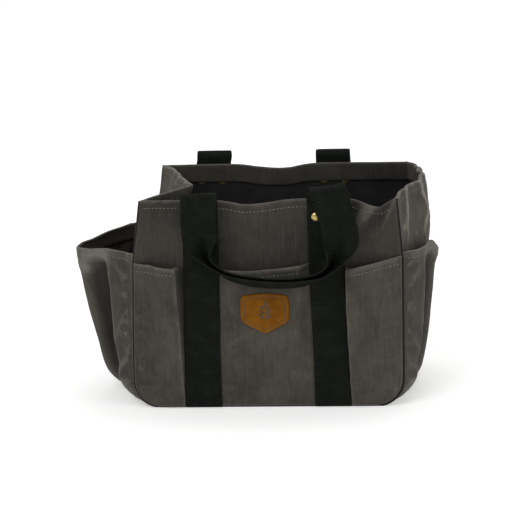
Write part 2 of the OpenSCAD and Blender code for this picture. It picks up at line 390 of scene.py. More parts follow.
CLOTH_SCALE = 10.0
CLOTH_FRAMES = 20
CLOTH_GRAVITY = 0.15
CLOTH_SETTINGS = {
    "quality": 6, "mass": 0.25, "tension_stiffness": 30.0, "compression_stiffness": 30.0,
    "shear_stiffness": 12.0, "tension_damping": 10.0, "compression_damping": 10.0, "shear_damping": 10.0,
    "bending_damping": 1.0, "air_damping": 4.0, "pin_stiffness": 20.0,
}


def hang(points, held, growth, bending):
    """Blender's cloth on a grid of points in mm, with some fullness. Returns how far each point moved.
    The grid is scaled up, because the solver works best on sizes of metres."""
    columns, rows = points.shape[:2]
    vertices = points.reshape(-1, 3) * CLOTH_SCALE
    obj = new_object("settling_sheet", vertices, grid_faces(columns, rows), PIPING)
    group = obj.vertex_groups.new(name="held")
    for index, weight in enumerate(held.ravel()):
        if weight > 0:
            group.add([index], float(weight), "REPLACE")
    modifier = obj.modifiers.new("cloth", "CLOTH")
    settings = modifier.settings
    for key, value in CLOTH_SETTINGS.items():
        setattr(settings, key, value)
    settings.bending_stiffness = bending
    settings.vertex_group_mass = "held"
    settings.shrink_min = settings.shrink_max = -growth
    settings.effector_weights.gravity = CLOTH_GRAVITY
    modifier.collision_settings.use_collision = False
    modifier.collision_settings.use_self_collision = False
    modifier.point_cache.frame_start, modifier.point_cache.frame_end = 1, CLOTH_FRAMES
    scene = bpy.context.scene
    for number in range(1, CLOTH_FRAMES + 1):
        scene.frame_set(number)
    hung = obj.evaluated_get(bpy.context.evaluated_depsgraph_get()).to_mesh()
    after = np.zeros(len(hung.vertices) * 3)
    hung.vertices.foreach_get("co", after)
    bpy.data.objects.remove(obj)
    scene.frame_set(1)
    return after.reshape(points.shape) / MM / CLOTH_SCALE - points


def settle(sheet, held, growth, cap, towards, bending=8.0):
    """Lets a sheet buckle and sag as cloth, by cap mm at most. held is 0 to 1 per point, and 1 can't move.
    The inside of its hem isn't simulated, and follows the outside."""
    held = np.clip(held, 0, 1)
    rows = sheet.p.shape[1]
    outside = rows - HEM_TURN
    moved = np.zeros(sheet.p.shape)
    moved[:, :outside] = hang(sheet.p[:, :outside], held[:, :outside], growth, bending)
    along = lengths(sheet.p.mean(0))
    for j in range(outside, rows):
        below = np.interp(2 * along[outside - 1] - along[j], along[:outside], np.arange(outside))
        moved[:, j] = moved[:, int(below)]
    away = towards(sheet.p)
    inward = np.minimum((moved * away).sum(-1, keepdims=True), 0)
    moved -= 0.5 * inward * away
    length = np.linalg.norm(moved, axis=-1, keepdims=True)
    moved *= cap / np.sqrt(length**2 + cap**2)
    moved *= (1 - held)[..., None]
    sheet.p = sheet.p + moved
    sheet.n = normals_of(sheet.p)


def edge_hold(sheet, reach=5):
    """1 at a sheet's first and last columns and its lowest row, 0 beyond reach from them."""
    columns, rows = sheet.p.shape[:2]
    i, j = np.arange(columns)[:, None], np.arange(rows)[None, :]
    return ramp(1 - np.minimum(np.minimum(i, columns - 1 - i), j) / reach)


def towards_front(p):
    return np.broadcast_to([0.0, -1.0, 0.0], p.shape)


def towards_back(p):
    return np.broadcast_to([0.0, 1.0, 0.0], p.shape)


def towards_ends(p):
    """Away from the middle of the bag, sideways on its ends and downwards on its base."""
    out = np.zeros(p.shape)
    base = p[..., 2] < 8
    out[..., 0] = np.where(base, 0, np.sign(p[..., 0]))
    out[..., 2] = np.where(base, -1, 0)
    return out


def cloth(name, sheets, material, node, towards=None, flip=False, hems=1, thickness=CANVAS_T, slot="canvas"):
    """One object from one or more sheets, given thickness, riding on the bag and standing for a CAD node.
    towards is its outward side, and is needed where the material shows creases and painted shade."""
    faces = []
    offset = 0
    for s in sheets:
        columns, rows = s.p.shape[:2]
        faces += grid_faces(columns, rows, offset, flip)
        offset += columns * rows
    vertices = np.vstack([s.p.reshape(-1, 3) for s in sheets])
    uv = np.vstack([s.uv.reshape(-1, 2) for s in sheets])
    obj = new_object(name, vertices, faces, material, uv)
    if towards is not None:
        shown = {
            "ridge": [s.ridges(towards) for s in sheets],
            "painted_pleat_shade": [s.painted_pleat_shade for s in sheets],
            "wear": [s.wear(hems) for s in sheets],
        }
        for key, values in shown.items():
            flat = np.concatenate([v.ravel() for v in values]).astype(np.float32)
            obj.data.attributes.new(key, "FLOAT", "POINT").data.foreach_set("value", flat)
    skin = thicken(obj, thickness)
    skin.offset = 0
    skin.use_even_offset = False
    place(obj, slot, node)


def sweep(name, rings, material, uv_length=None):
    """A closed tube through rings[station, corner], with closed ends. v runs along it in mm."""
    rings = np.asarray(rings, float)
    stations, corners = rings.shape[:2]
    centre = rings.mean(1)
    v = lengths(centre) if uv_length is None else uv_length
    around = lengths(rings[stations // 2])
    uv = grid_of(around[None, :], v[:, None]).reshape(-1, 2)
    faces = ring_faces(stations, corners)
    tail = (stations - 1) * corners
    first = stations * corners
    for k in range(corners):
        faces.append((first, (k + 1) % corners, k))
        faces.append((first + 1, tail + k, tail + (k + 1) % corners))
    vertices = np.vstack([rings.reshape(-1, 3), centre[:1], centre[-1:]])
    return new_object(name, vertices, faces, material, np.vstack([uv, [[0, v[0]], [0, v[-1]]]]))


def tube_rings(line, radius, corners=10):
    """Round rings along a line."""
    t = unit(np.gradient(line, axis=0))
    a = unit(np.cross(t, [0.0, 1.0, 0.0]))
    b = np.cross(a, t)
    angles = np.linspace(0, 2 * math.pi, corners, endpoint=False)[None, :, None]
    return line[:, None] + radius * np.cos(angles) * a[:, None] + radius * np.sin(angles) * b[:, None]


def at(line, along, where):
    return np.array([np.interp(where, along, line[:, k]) for k in range(3)])


# A thread seen from the side, as (place along it, its thickness), both as shares
THREAD_PROFILE = [(-0.5, 0.25), (-0.42, 0.75), (-0.2, 1.0), (0.2, 1.0), (0.42, 0.75), (0.5, 0.25)]
THREAD_SIDES = 6
THREAD_BOW = 2.2


def stitches(name, lines, material, slot="canvas", pitch=4.1, length=2.7, radius=0.34, lift=0.62, seed=5):
    """Threads along lines of (points, outward normals), each a small rounded bar sunk into the cloth."""
    rng = np.random.RandomState(seed)
    spin = np.linspace(0, 2 * math.pi, THREAD_SIDES, endpoint=False)[:, None]
    per_thread = THREAD_SIDES * len(THREAD_PROFILE)
    vertices, faces = [], []
    for points, normals in lines:
        along = lengths(points)
        count = int(along[-1] / pitch)
        for c in (np.arange(count) + 0.5) * along[-1] / max(count, 1):
            size = length * (1 + 0.12 * (rng.rand() - 0.5))
            a, b = at(points, along, c - size / 2), at(points, along, c + size / 2)
            n = at(normals, along, c)
            t = unit(b - a)
            n = unit(n - t * (n @ t))
            s = np.cross(t, n)
            t = t + s * 0.16 * (rng.rand() - 0.5)
            middle = (a + b) / 2 + n * lift
            offset = per_thread * len(vertices)
            rings = []
            for shift, width in THREAD_PROFILE:
                bow = THREAD_BOW * radius * shift**2
                across = radius * width * (np.cos(spin) * n + np.sin(spin) * s)
                rings.append(middle + t * shift * size - n * bow + across)
            vertices.append(np.vstack(rings))
            faces += ring_faces(len(THREAD_PROFILE), THREAD_SIDES, offset)
            faces.append(tuple(offset + k for k in reversed(range(THREAD_SIDES))))
            faces.append(tuple(offset + per_thread - THREAD_SIDES + k for k in range(THREAD_SIDES)))
    place(new_object(name, np.vstack(vertices), faces, material), slot)


# ---------- materials


class Nodes:
    """Short calls to build a material's node tree."""

    def __init__(self, name):
        self.material = bpy.data.materials.new(name)
        self.material.use_nodes = True
        self.tree = self.material.node_tree
        self.shader = self.tree.nodes["Principled BSDF"]
        self.uv = self.add("ShaderNodeUVMap").outputs[0]
        self.object = self.add("ShaderNodeTexCoord").outputs["Object"]

    def add(self, kind, inputs=(), **values):
        """A node with its settings, and its inputs as {name or number: number or socket}."""
        node = self.tree.nodes.new(kind)
        for key, value in values.items():
            setattr(node, key, value)
        for key, value in dict(inputs).items():
            self.put(node.inputs[key], value)
        return node

    def put(self, socket, value):
        if hasattr(value, "is_output"):
            self.tree.links.new(value, socket)
        elif socket.type == "RGBA" and len(value) == 3:
            socket.default_value = (*value, 1.0)
        else:
            socket.default_value = value

    def math(self, operation, a, b):
        return self.add("ShaderNodeMath", {0: a, 1: b}, operation=operation).outputs[0]

    def attribute(self, name):
        return self.add("ShaderNodeAttribute", attribute_name=name).outputs["Fac"]

    def edges(self, low, high, amount):
        """amount on sharp outer edges, from the mesh's own shape, and 0 elsewhere."""
        pointiness = self.add("ShaderNodeNewGeometry").outputs["Pointiness"]
        return self.span(pointiness, low, high, 0.0, amount)

    def stretched(self, vector, sx, sy):
        inputs = {0: vector, 1: (sx, sy, 1.0)}
        return self.add("ShaderNodeVectorMath", inputs, operation="MULTIPLY").outputs[0]

    def noise(self, vector, scale, detail=3.0, roughness=0.55, distortion=0.0):
        inputs = {"Vector": vector, "Scale": scale, "Detail": detail, "Roughness": roughness}
        return self.add("ShaderNodeTexNoise", {**inputs, "Distortion": distortion}).outputs["Fac"]

    def wave(self, vector, pitch, direction, distortion):
        """Bands of a pitch in mm."""
        scale = 2 * math.pi / 20 / pitch
        inputs = {"Vector": vector, "Scale": scale, "Distortion": distortion, "Detail": 1.0}
        node = self.add("ShaderNodeTexWave", inputs, wave_type="BANDS", bands_direction=direction)
        return node.outputs["Fac"]

    def weave(self, pitch, distortion):
        across = self.wave(self.uv, pitch, "X", distortion)
        return self.math("ADD", across, self.wave(self.uv, pitch, "Y", distortion))

    def span(self, value, low, high, to_low=0.0, to_high=1.0):
        """to_low where value is low or past it, to_high where it is high, and straight between."""
        inputs = {"Value": value, "From Min": low, "From Max": high, "To Min": to_low, "To Max": to_high}
        return self.add("ShaderNodeMapRange", inputs).outputs["Result"]

    def mix(self, factor, a, b):
        return self.add("ShaderNodeMix", {0: factor, 6: a, 7: b}, data_type="RGBA").outputs[2]

    def layers(self, colour, *coats):
        """Lays coats of (value, low, high, amount, colour) over a colour."""
        for value, low, high, amount, over in coats:
            colour = self.mix(self.span(value, low, high, 0.0, amount), colour, over)
        return colour

    def bump(self, height, strength, distance_mm, under=None):
        inputs = {"Height": height, "Strength": strength, "Distance": distance_mm * MM}
        if under is not None:
            inputs["Normal"] = under
        return self.add("ShaderNodeBump", inputs).outputs[0]

    def finish(self, colour, roughness, normal=None, sheen=0.0, metallic=0.0, gloss=0.5, **more):
        inputs = {"Base Color": colour, "Roughness": roughness, "Metallic": metallic}
        inputs.update({"Sheen Weight": sheen, "Specular IOR Level": gloss, **more})
        if normal is not None:
            inputs["Normal"] = normal
        for key, value in inputs.items():
            self.put(self.shader.inputs[key], value)
        return self.material


CANVAS_DARK = (0.04, 0.036, 0.0297)
CANVAS_PALE = (0.08, 0.072, 0.0595)
CANVAS_CHALK = (0.125, 0.113, 0.096)
CANVAS_SHADE = (0.022, 0.0195, 0.016)
CANVAS_WORN = (0.21, 0.19, 0.168)
PLEAT_SHADE = 0.76


def canvas_material(name, tone, creasing, onset=0.45):
    """Waxed canvas, with painted shade in its hollows and pleats. creasing is how pale its creases are, on
    ridges over onset mm high.
    """
    n = Nodes(name)
    broad = n.noise(n.object, 20.0, 4.0, 0.6, 0.3)
    patchy = n.noise(n.object, 110.0, 4.0, 0.65)
    streaks = n.noise(n.stretched(n.uv, 0.34, 0.035), 1.0, 5.0, 0.7, 0.3)
    cracks = n.noise(n.stretched(n.uv, 0.16, 0.1), 1.0, 6.0, 0.75, 1.0)
    fine = n.noise(n.uv, 1.6, 2.0, 0.6)
    ridge = n.attribute("ridge")
    colours = (CANVAS_DARK, CANVAS_PALE, CANVAS_CHALK, CANVAS_SHADE, CANVAS_WORN)
    dark, pale, chalk, shade, worn = [tuple(tone * c for c in colour) for colour in colours]
    colour = n.layers(
        n.mix(n.span(broad, 0.3, 0.7), dark, pale),
        (patchy, 0.44, 0.75, 0.3, chalk),
        (streaks, 0.5, 0.78, 0.42, chalk),
        (streaks, 0.46, 0.28, 0.35, shade),
        (cracks, 0.56, 0.66, 0.12, chalk),
        (fine, 0.35, 0.65, 0.3, shade),
    )
    broken = n.span(cracks, 0.3, 0.6, 0.4 * creasing, creasing)
    colour = n.mix(n.math("MULTIPLY", n.span(ridge, onset, onset + 1.7), broken), colour, worn)
    rubbed = n.math("MULTIPLY", n.attribute("wear"), n.span(cracks, 0.36, 0.62, 0.1, 0.62))
    # Rubbed hem turns go pale, and painted shade darkens the hollows, where ridge is below -0.4 mm
    colour = n.layers(n.mix(rubbed, colour, worn), (ridge, -0.4, -2.2, 0.4, shade))
    colour = n.mix(n.edges(0.52, 0.62, 0.5), colour, worn)
    # Painted shade, near black, in the pleat valleys and in the gaps beside the straps
    painted_pleat_shade = n.math("MULTIPLY", n.attribute("painted_pleat_shade"), PLEAT_SHADE)
    colour = n.mix(painted_pleat_shade, colour, tuple(0.3 * c for c in shade))
    normal = n.bump(n.weave(0.9, 0.6), 0.25, 0.16)
    normal = n.bump(n.noise(n.uv, 0.55, 3.0, 0.6), 0.35, 0.35, normal)
    return n.finish(colour, n.span(patchy, 0.3, 0.7, 0.66, 0.86), normal, sheen=0.02, gloss=0.14)


def webbing_material(name):
    n = Nodes(name)
    ribs = n.wave(n.uv, 2.0, "Y", 0.25)
    yarn = n.wave(n.uv, 1.3, "X", 0.5)
    worn = n.noise(n.object, 70.0, 3.0)
    lit = n.math("MULTIPLY", ribs, n.span(yarn, 0.2, 0.8, 0.55, 1.0))
    colour = n.mix(lit, (0.0016, 0.0022, 0.0014), (0.009, 0.0115, 0.008))
    colour = n.layers(colour, (worn, 0.45, 0.75, 0.35, (0.015, 0.018, 0.013)))
    colour = n.mix(n.edges(0.53, 0.66, 0.35), colour, (0.03, 0.032, 0.027))
    normal = n.bump(n.math("ADD", ribs, n.math("MULTIPLY", yarn, 0.35)), 0.6, 0.35)
    return n.finish(colour, n.span(ribs, 0.0, 1.0, 0.85, 0.62), normal, gloss=0.07)


def plain_cloth_material(name, low, high, pitch):
    n = Nodes(name)
    patchy = n.noise(n.object, 60.0, 4.0)
    colour = n.mix(n.span(patchy, 0.35, 0.7), low, high)
    normal = n.bump(n.weave(pitch, 0.4), 0.35, 0.18)
    return n.finish(colour, n.span(patchy, 0.3, 0.7, 0.7, 0.9), normal, sheen=0.02, gloss=0.18)


def leather_material(name):
    n = Nodes(name)
    cloudy = n.noise(n.object, 70.0, 4.0, 0.6, 0.6)
    pores = n.add("ShaderNodeTexVoronoi", {"Vector": n.object, "Scale": 1300.0}, feature="DISTANCE_TO_EDGE")
    grain = pores.outputs["Distance"]
    colour = n.mix(n.span(cloudy, 0.32, 0.68), (0.12, 0.042, 0.0035), (0.19, 0.074, 0.006))
    colour = n.layers(colour, (grain, 0.12, 0.0, 0.3, (0.055, 0.02, 0.003)))
    colour = n.mix(n.edges(0.515, 0.58, 0.55), colour, (0.34, 0.155, 0.02))
    normal = n.bump(n.noise(n.object, 420.0, 3.0), 0.3, 0.2, n.bump(grain, 0.35, 0.12))
    return n.finish(colour, n.span(cloudy, 0.3, 0.7, 0.55, 0.72), normal, gloss=0.03)


def stamp_material(name):
    n = Nodes(name)
    patchy = n.noise(n.object, 500.0, 3.0)
    colour = n.mix(n.span(patchy, 0.35, 0.7), (0.035, 0.018, 0.006), (0.085, 0.042, 0.01))
    return n.finish(colour, 0.55, n.bump(patchy, 0.4, 0.15))


def thread_material(name, low, high, gloss=0.3):
    n = Nodes(name)
    twist = n.noise(n.object, 900.0, 2.0)
    return n.finish(n.mix(n.span(twist, 0.35, 0.65), low, high), 0.7, n.bump(twist, 0.5, 0.1), gloss=gloss)


def brass_material(name):
    n = Nodes(name)
    tarnish = n.noise(n.object, 350.0, 4.0, 0.6)
    colour = n.mix(n.span(tarnish, 0.35, 0.75), (0.56, 0.43, 0.17), (0.38, 0.28, 0.1))
    normal = n.bump(n.noise(n.object, 1500.0, 2.0), 0.25, 0.05)
    return n.finish(colour, n.span(tarnish, 0.3, 0.7, 0.2, 0.42), normal, metallic=1.0)


def board_material(name):
    n = Nodes(name)
    speckle = n.noise(n.object, 700.0, 3.0)
    colour = n.mix(speckle, (0.012, 0.012, 0.012), (0.025, 0.025, 0.024))
    return n.finish(colour, n.span(speckle, 0.3, 0.7, 0.5, 0.7), n.bump(speckle, 0.3, 0.1))


CANVAS = canvas_material("waxed_canvas", 0.86, 0.35)
PANEL_CANVAS = canvas_material("waxed_canvas_panels", 0.63, 0.4)
SIDE_CANVAS = canvas_material("waxed_canvas_sides", 0.84, 0.7)
GUSSET_CANVAS = canvas_material("waxed_canvas_gusset", 1.12, 0.85, 0.42)
WEBBING = webbing_material("webbing")
LINING = plain_cloth_material("lining_cloth", (0.01, 0.01, 0.01), (0.019, 0.018, 0.018), 0.7)
PIPING = plain_cloth_material("piping_cord", (0.006, 0.006, 0.006), (0.014, 0.013, 0.013), 0.8)
LEATHER = leather_material("label_leather")
STAMP = stamp_material("label_stamp")
GROOVE = stamp_material("label_groove")
PALE_THREAD = thread_material("pale_thread", (0.095, 0.087, 0.079), (0.235, 0.216, 0.2))
BLACK_THREAD = thread_material("black_thread", (0.003, 0.003, 0.003), (0.01, 0.011, 0.009), 0.15)
TAN_THREAD = thread_material("tan_thread", (0.13, 0.055, 0.01), (0.26, 0.12, 0.022))
BRASS = brass_material("satin_brass")
BOARD = board_material("base_board")


def refinish(node, material):
    """Gives a CAD node that stays in view its material."""
    mesh = frame["nodes"][node].data
    mesh.materials.clear()
    mesh.materials.append(material)
    return mesh


refinish("base_board", BOARD)
for node in ("front_rivets", "front_rivet_backs", "back_rivets", "back_rivet_backs"):
    for polygon in refinish(node, BRASS).polygons:
        polygon.use_smooth = False


# ---------- body panels

INSET = CANVAS_T / 2
FACE_COLUMNS = 105
GUSSET_COLUMNS = 61
BASE_COLUMNS = 41
GUSSET_Y = PANEL_Y - 0.8
LINING_STAND = 1.7
# The gusset's rows that make one end, from its hem down to the base
END_ROWS = 58


def hemmed(heights, hem, top):
    """Steps up a hemmed edge: (height, how far inwards) up to top, over a small turn and down inside."""
    up = [(z, 0.0) for z in heights]
    angles = np.linspace(0, math.pi, HEM_ROWS // 2 + 1)[1:]
    turn = [(top + TURN_R * math.sin(a) - TURN_R, TURN_R - TURN_R * math.cos(a)) for a in angles]
    down = [(top - TURN_R - hem * k, 2 * TURN_R) for k in np.linspace(0.15, 1, HEM_ROWS // 2)]
    return np.array(up + turn + down)


def panel_heights(top, step=3.0):
    arc = CORNER_R * (1 - np.cos(np.linspace(0, math.pi / 2, 14)))
    return np.concatenate([arc, np.arange(CORNER_R + step, top - 1, step)])


RIM_STEPS = hemmed(panel_heights(RIM_Z - TURN_R), HEM, RIM_Z)


def face_sheet(side):
    """A panel of the body's outline, on the front (side -1) or the back (side 1)."""
    height, inwards = RIM_STEPS.T
    x = np.linspace(-1, 1, FACE_COLUMNS)[:, None] * half_width(height, INSET)[None, :]
    depth = side * (PANEL_Y - INSET - inwards)
    p = grid_of(x, depth[None, :], np.maximum(height, INSET)[None, :])
    return Sheet(soften(p), grid_of(x, lengths(RIM_STEPS)[None, :]))


def gusset_sheet():
    """The gusset, from inside the left rim, over, down, along the base, up and over the right rim."""
    height, inwards = RIM_STEPS.T
    right = np.stack([half_width(height, INSET) - inwards, np.maximum(height, INSET)], 1)
    base = grid_of(np.linspace(-1, 1, BASE_COLUMNS)[1:-1] * right[0, 0], right[0, 1])
    line = np.vstack([right[::-1] * np.array([-1, 1]), base, right])
    depth = np.linspace(-GUSSET_Y, GUSSET_Y, GUSSET_COLUMNS)[:, None]
    p = grid_of(line[None, :, 0], depth, line[None, :, 1])
    return Sheet(soften(p, tuck=True), grid_of(depth, lengths(line)[None, :]))


def panel_hold(sheet):
    """Held at its seams, under the straps and behind the pockets."""
    x, z = sheet.p[..., 0], sheet.p[..., 2]
    under_strap = np.clip(1.6 * bump(np.abs(x), STRAP_X, 36), 0, 1)
    return np.maximum(np.maximum(edge_hold(sheet), under_strap), 1 - ramp((z - 130) / 40))


def lining_of(sheet, towards, rows):
    """The lining behind a canvas sheet, on its rows, from the base up to under the hem."""
    inward = -turned(sheet.n, towards(sheet.p))
    return Sheet((sheet.p + inward * LINING_STAND)[:, rows], sheet.uv[:, rows])


front = face_sheet(-1)
back = face_sheet(1)
gusset = gusset_sheet()
settle(front, panel_hold(front), 0.012, 2.5, towards_front)
settle(back, panel_hold(back), 0.014, 3.0, towards_back)
for part in (slice(END_ROWS - 1, None, -1), slice(-END_ROWS, None)):
    end = Sheet(gusset.p[:, part])
    held = np.maximum(edge_hold(end, reach=4), 1 - ramp((end.p[..., 2] - 125) / 70))
    settle(end, held, 0.02, 4.0, towards_ends, bending=5.0)
    gusset.p[:, part] = end.p
gusset.n = normals_of(gusset.p)
cloth("canvas_front_panel", [front], PANEL_CANVAS, "front_panel", towards_front)
cloth("canvas_back_panel", [back], PANEL_CANVAS, "back_panel", towards_back, flip=True)
cloth("canvas_gusset", [gusset], GUSSET_CANVAS, "gusset", towards_ends, flip=True, hems=2)

UNDER_HEM = HEM_ROWS + 3
lining = [
    lining_of(front, towards_front, slice(0, -UNDER_HEM)),
    lining_of(back, towards_back, slice(0, -UNDER_HEM)),
    lining_of(gusset, towards_ends, slice(UNDER_HEM, -UNDER_HEM)),
]
cloth("black_lining", lining, LINING, "lining", thickness=0.5, slot="lining")


# ---------- piping

PIPING_R = 0.85


def piping(name, side, node):
    """Cord in the seam between a face and the gusset. Its left side stands a little inwards."""
    z = np.concatenate([panel_heights(RIM_Z, 2.5), [RIM_Z - 0.4]])
    right = grid_of(half_width(z) - 0.2, side * (PANEL_Y + 0.35), np.maximum(z, 1.1))
    left = right[::-1] * np.array([-1, 1, 1]) + np.array([0.9, -0.9 * side, 0])
    base = np.linspace(left[-1], right[0], 60)[1:-1]
    line = soften(np.vstack([left, base, right]))
    place(sweep(name, tube_rings(line, PIPING_R), PIPING), "piping", node)


piping("front_piping_cord", -1, "front_piping")
piping("back_piping_cord", 1, "back_piping")


# ---------- front and back pockets

SEAM = 1.8
POCKET_HEM = HEM - 2
POCKET_STAND = 0.8
OUTER_SLACK = 9.5
CENTRE_SLACK = 7.5


def pocket_steps(mouth):
    heights = np.concatenate([[SEAM, 3.5, 6, 9, 13, 18, 24], np.arange(30, mouth - TURN_R - 1, 3.4)])
    return hemmed(heights, POCKET_HEM, mouth)


def pocket_sheet(p, painted_pleat_shade, steps, mirrored):
    """A sheet of points already softened. Mirrored ones are turned round, so that all run the same way."""
    if mirrored:
        p, painted_pleat_shade = p[::-1], painted_pleat_shade[::-1]
    sheet = Sheet(p)
    sheet.painted_pleat_shade = painted_pleat_shade
    sheet.uv = grid_of(sheet.uv[:, :, 0], lengths(steps)[None, :])
    return sheet


def outer_pocket(side_x, side_y, mouth, lean, edge_shift, seed, columns=64):
    """The pocket between a strap and the corner seam. mouth and lean are its mouth's height and slope, and
    edge_shift is how far its folded edge moves off the strap towards the mouth."""
    steps = pocket_steps(mouth)
    p = np.zeros((columns, len(steps), 3))
    painted_pleat_shade = np.zeros((columns, len(steps)))
    for j, (z, inward) in enumerate(steps):
        share = np.clip((z - SEAM) / (mouth - SEAM), 0, 1)
        stand = OUTER_SLACK * share**0.8 + 0.8
        edge = STRAP_EDGE_OUT + edge_shift * share + 1.0
        end = float(half_width(z, SEAM))
        line = [
            (STRAP_EDGE_OUT - 8, 0.0),
            (STRAP_EDGE_OUT + 0.5, 0.0),
            (edge + 0.6 + 1.2 * share, stand * 0.45),
            (edge, stand * 0.92),
            (edge + 4, stand + 1.2),
            (edge + 0.45 * (end - edge), stand * 0.82 + 1.4),
            (edge + 0.8 * (end - edge), stand * 0.36 + 0.6),
            (end, 0.2),
        ]
        curve = spline([(a, b, 0) for a, b in line], columns)
        x, out = curve[:, 0], np.maximum(curve[:, 1], 0)
        loose = ramp((x - STRAP_EDGE_OUT - 3) / 8) * ramp((end - x) / 8) * share
        ripple = 0.9 * fractal(x / 20 + seed, np.full_like(x, z / 48), seed) * loose
        p[:, j, 0] = side_x * x
        p[:, j, 1] = side_y * (PANEL_Y + POCKET_STAND + np.maximum(out + ripple, 0) - inward * ramp(out / 3))
        p[:, j, 2] = z + lean * (x - edge) / 50 * share
        # Painted shade in the gap between the strap and the pocket's folded edge
        painted_pleat_shade[:, j] = ramp((edge - x) / 4) * ramp(share / 0.3)
    return pocket_sheet(soften(p), painted_pleat_shade, steps, side_x * side_y > 0)


def centre_pocket(side_y, left_z, right_z, seed, columns=70):
    """The pocket between the straps, tucked under both and slack at the mouth."""
    mouth = (left_z + right_z) / 2
    steps = pocket_steps(mouth)
    s = np.linspace(-1, 1, columns)
    x = s * (STRAP_EDGE_IN + 8)
    p = np.zeros((columns, len(steps), 3))
    inside = ramp((STRAP_EDGE_IN + 0.5 - np.abs(x)) / 14)
    tilt = (right_z - left_z) / 2 * s - 2.5 * bump(x, -6, 44)
    for j, (z, inward) in enumerate(steps):
        share = np.clip((z - SEAM) / (mouth - SEAM), 0, 1)
        slack = CENTRE_SLACK * share**1.6 * (1 - 0.35 * np.cos(x / 19 + 0.6) * ramp((share - 0.55) / 0.4))
        ripple = 0.9 * fractal(x / 24 + seed, np.full_like(x, z / 42), seed) * share
        out = inside * (1.2 * share + slack + ripple)
        p[:, j, 0] = x
        p[:, j, 1] = side_y * (PANEL_Y + POCKET_STAND + np.maximum(out, 0) - inward * ramp(out / 3))
        p[:, j, 2] = z + tilt * share
    return pocket_sheet(soften(p), np.zeros(p.shape[:2]), steps, side_y > 0)


pockets = {
    "front_pocket_left": outer_pocket(-1, -1, 156, 5, 7.0, 61),
    "front_pocket_centre": centre_pocket(-1, 153, 159, 67),
    "front_pocket_right": outer_pocket(1, -1, 154, 11, -1.0, 71),
    "back_pocket_left": outer_pocket(-1, 1, 157, 3, 0.5, 73),
    "back_pocket_centre": centre_pocket(1, 156, 154, 79),
    "back_pocket_right": outer_pocket(1, 1, 156, 4, 0.5, 83),
}
for node, sheet in pockets.items():
    reach = 10 if "centre" in node else 6
    towards = towards_front if "front" in node else towards_back
    settle(sheet, edge_hold(sheet, reach), 0.007, 1.6, towards, bending=14.0)
    cloth("canvas_" + node, [sheet], CANVAS, node, towards)


# ---------- side pockets

SIDE_FOOT = 3.0
SIDE_MOUTH = 170.0


def side_pocket(side, mouth_plan, low_plan, mouth_line, tip, foot, seed, columns=110):
    """A wide pocket on one end. Its plans are at the mouth and where its pleat is deep, seen from above, as
    (standoff, depth) from front to back. mouth_line is its mouth's (depths, heights). tip widens its mouth
    and foot its lowest part."""
    heights = np.concatenate([[SIDE_FOOT, 4.5, 7, 10], np.arange(14, 165, 3.6)])
    steps = hemmed(heights, POCKET_HEM, SIDE_MOUTH)
    p = np.zeros((columns, len(steps), 3))
    painted_pleat_shade = np.zeros((columns, len(steps)))
    place_along = np.arange(columns)
    off_seams = ramp(np.minimum(place_along, columns - 1 - place_along) / 7)
    mouth_plan = np.array([(out, depth, 0.0) for out, depth in mouth_plan])
    low_plan = np.array([(out, depth, 0.0) for out, depth in low_plan])
    unpleated = spline(mouth_plan, columns)
    for j, (z, inward) in enumerate(steps):
        share = np.clip((z - SIDE_FOOT) / (SIDE_MOUTH - SIDE_FOOT), 0, 1)
        deep = ramp((0.99 - share) / 0.17)
        standoff, depth, _ = spline(mouth_plan * (1 - deep) + low_plan * deep, columns).T
        flare = share**0.42 + tip * ramp((share - 0.84) / 0.16) * bump(depth, -18, 24)
        flare = flare + foot * bump(share, 0.15, 0.24)
        ripple = 1.1 * fractal(place_along / 13 + seed, np.full(columns, z / 55), seed) * share * off_seams
        out = standoff * flare + ripple - inward * off_seams
        # Its front and back edges are tucked into the corner seams
        p[:, j, 0] = side * (half_width(z, -0.9) - 1.6 * (1 - off_seams) + np.maximum(out, 0))
        p[:, j, 1] = depth * (1 + 0.018 * (1 - off_seams) - 0.01 * (1 - share))
        p[:, j, 2] = z + (np.interp(depth, *mouth_line) - SIDE_MOUTH) * share**1.5
        # Painted shade in the pleat's valley, darker the further it is sunk below the unpleated plan
        sunk = (np.interp(depth, unpleated[:, 1], unpleated[:, 0]) - standoff) * flare
        faded = ramp((share - 0.05) / 0.2) * (1 - 0.4 * ramp((share - 0.55) / 0.4))
        painted_pleat_shade[:, j] = ramp((sunk - 1) / 8) * faded
    # It stays clear of the gusset behind it
    behind = np.stack([side * half_width(p[..., 2]), p[..., 1], p[..., 2]], -1)
    clear = side * soften(behind, tuck=True)[..., 0] + 2.0 * off_seams[:, None]
    p = soften(p)
    p[..., 0] = side * np.maximum(side * p[..., 0], clear)
    return pocket_sheet(p, painted_pleat_shade, steps, side < 0)


LEFT_MOUTH_PLAN = [
    (0, -81), (9, -77), (18, -72), (26, -66), (32, -60), (37, -54), (41, -49), (46, -43), (52, -36),
    (59, -28), (64, -18), (63, -4), (53, 18), (40, 42), (25, 62), (9, 77), (0, 81),
]
LEFT_LOW_PLAN = [
    (0, -81), (10, -77), (20, -71), (28, -64), (29, -57), (21, -51), (10, -46), (12, -40), (33, -36),
    (54, -30), (64, -19), *LEFT_MOUTH_PLAN[-6:],
]
RIGHT_MOUTH_PLAN = [
    (0, -81), (8, -77), (15, -72), (20, -66), (24, -60), (26, -54), (27, -48), (27, -42), (28, -36),
    (30, -28), (31, -16), (29, 0), (25, 20), (19, 44), (9, 67), (0, 81),
]
RIGHT_LOW_PLAN = [
    (0, -81), (9, -77), (16, -71), (21, -64), (21, -57), (14, -51), (6, -46), (7, -40), (15, -34),
    (23, -27), (28, -16), (28, 0), (25, 20), (19, 44), (9, 67), (0, 81),
]
LEFT_MOUTH = ([-81, -62, -40, -15, 20, 81], [171, 171, 166, 162, 165, 166])
